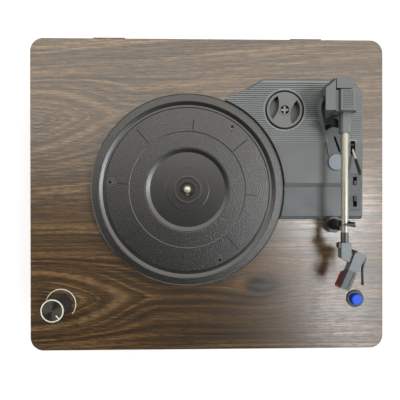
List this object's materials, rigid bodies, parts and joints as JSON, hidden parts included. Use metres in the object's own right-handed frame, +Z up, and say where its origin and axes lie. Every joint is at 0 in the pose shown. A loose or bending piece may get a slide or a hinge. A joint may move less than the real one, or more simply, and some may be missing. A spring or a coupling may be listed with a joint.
{
  "type": "record player",
  "caption": "Belt-drive record player in a rounded walnut cabinet, with a ribbed grey plinth, cueing tone arm, volume knob, push button and front loudspeakers.",
  "frame": {"origin": "on the table under the middle of the object, at the underside of the feet", "axes": "+X to the right along the front, +Y to the back, +Z up"},
  "size_m": [0.382, 0.34, 0.146],
  "materials": {
    "walnut": "satin laminate",
    "board_wood": "raw board",
    "grey_plastic": "satin moulding",
    "platter_plastic": "leather grain moulding",
    "adapter_plastic": "satin moulding",
    "black_plastic": "satin moulding",
    "red_plastic": "gloss",
    "blue_plastic": "gloss",
    "rubber": "matte",
    "tube_aluminium": "satin anodised",
    "cap_aluminium": "spun",
    "steel": "bright",
    "brass": "turned",
    "circuit": "solder mask",
    "cone_paper": "matte"
  },
  "bodies": {
    "cabinet": {"left_panel": "walnut", "right_panel": "walnut", "front_panel": "walnut", "rear_panel": "walnut", "top_deck": "walnut", "base_panel": "board_wood", "corner_blocks": "board_wood", "rubber_feet": "rubber", "base_screws": "steel", "left_grille": "black_plastic", "right_grille": "black_plastic", "left_speaker": "cone_paper", "right_speaker": "cone_paper", "hinge_sockets": "black_plastic", "rear_screws": "steel", "jack_plate": "black_plastic", "line_out_jacks": "brass", "power_inlet": "black_plastic", "circuit_board": "circuit", "board_posts": "adapter_plastic", "plinth": "grey_plastic", "plinth_screws": "steel", "switch_plate": "grey_plastic", "slide_switches": "steel", "spindle": "brass", "platter_clip": "steel", "drive_belt": "rubber", "motor": "steel", "arm_bearing": "steel", "arm_rest": "black_plastic", "volume_pot": "steel", "button_bezel": "black_plastic", "button_switch": "black_plastic"},
    "platter": {"platter": "platter_plastic", "platter_bush": "brass"},
    "pulley": {"motor_pulley": "brass", "motor_shaft": "steel"},
    "adapter": {"adapter_45": "adapter_plastic"},
    "yoke": {"arm_yoke": "grey_plastic", "arm_pivot_pins": "steel"},
    "tone_arm": {"arm_block": "grey_plastic", "counterweight": "steel", "arm_tube": "tube_aluminium", "tube_collar": "black_plastic", "headshell": "grey_plastic", "finger_lift": "grey_plastic", "cartridge": "black_plastic", "stylus_holder": "red_plastic", "stylus_needle": "steel"},
    "cue_platform": {"cue_platform": "grey_plastic"},
    "cue_lever": {"cue_rod": "steel", "cue_grip": "black_plastic"},
    "arm_clip": {"arm_clip": "grey_plastic"},
    "auto_stop_slider": {"auto_stop_slider": "black_plastic"},
    "speed_slider": {"speed_slider": "black_plastic"},
    "volume_knob": {"volume_knob": "black_plastic", "knob_cap": "cap_aluminium", "volume_shaft": "steel"},
    "button": {"button_cap": "blue_plastic"}
  },
  "joints": [
    {"name": "platter_spin", "type": "hinge", "parent": "cabinet", "child": "platter", "pos_m": [-0.022, 0.0026, 0.104], "axis": [0, 0, -1], "continuous": true},
    {"name": "pulley_spin", "type": "hinge", "parent": "cabinet", "child": "pulley", "pos_m": [-0.06584, 0.04644, 0.104], "axis": [0, 0, -1], "continuous": true},
    {"name": "adapter_lift", "type": "slide", "parent": "cabinet", "child": "adapter", "axis": [0, 0, 1], "range_m": [0, 0.03]},
    {"name": "arm_swing", "type": "hinge", "parent": "cabinet", "child": "yoke", "pos_m": [0.134, 0.0896, 0.104], "axis": [0, 0, -1], "range_deg": [0, 44]},
    {"name": "arm_pitch", "type": "hinge", "parent": "yoke", "child": "tone_arm", "pos_m": [0.134, 0.0896, 0.135], "axis": [-1, 0, 0], "range_deg": [0, 2.2]},
    {"name": "cue_lever_swing", "type": "hinge", "parent": "cabinet", "child": "cue_lever", "pos_m": [0.1544, 0.0511, 0.1075], "axis": [-1, 0, 0], "range_deg": [0, 65]},
    {"name": "cue_lift", "type": "slide", "parent": "cabinet", "child": "cue_platform", "axis": [0, 0, 1], "range_m": [0, 0.00076]},
    {"name": "arm_clip_swing", "type": "hinge", "parent": "cabinet", "child": "arm_clip", "pos_m": [0.1393, -0.032, 0.1423], "axis": [0, 1, 0], "range_deg": [0, 100]},
    {"name": "auto_stop_slide", "type": "slide", "parent": "cabinet", "child": "auto_stop_slider", "axis": [0, 1, 0], "range_m": [0, 0.004]},
    {"name": "speed_slide", "type": "slide", "parent": "cabinet", "child": "speed_slider", "axis": [0, -1, 0], "range_m": [0, 0.0056]},
    {"name": "volume_turn", "type": "hinge", "parent": "cabinet", "child": "volume_knob", "pos_m": [-0.1587, -0.1201, 0.104], "axis": [0, 0, 1], "range_deg": [0, 300]},
    {"name": "button_press", "type": "slide", "parent": "cabinet", "child": "button", "axis": [0, 0, -1], "range_m": [0, 0.002], "stiffness_N_per_m": 400}
  ],
  "couplings": [
    {"joint": "pulley_spin", "follows": "platter_spin", "ratio": 12.5},
    {"joint": "arm_pitch", "follows": "cue_lever_swing", "ratio": 0.0338},
    {"joint": "cue_lift", "follows": "cue_lever_swing", "m_per_rad": 0.00066}
  ]
}
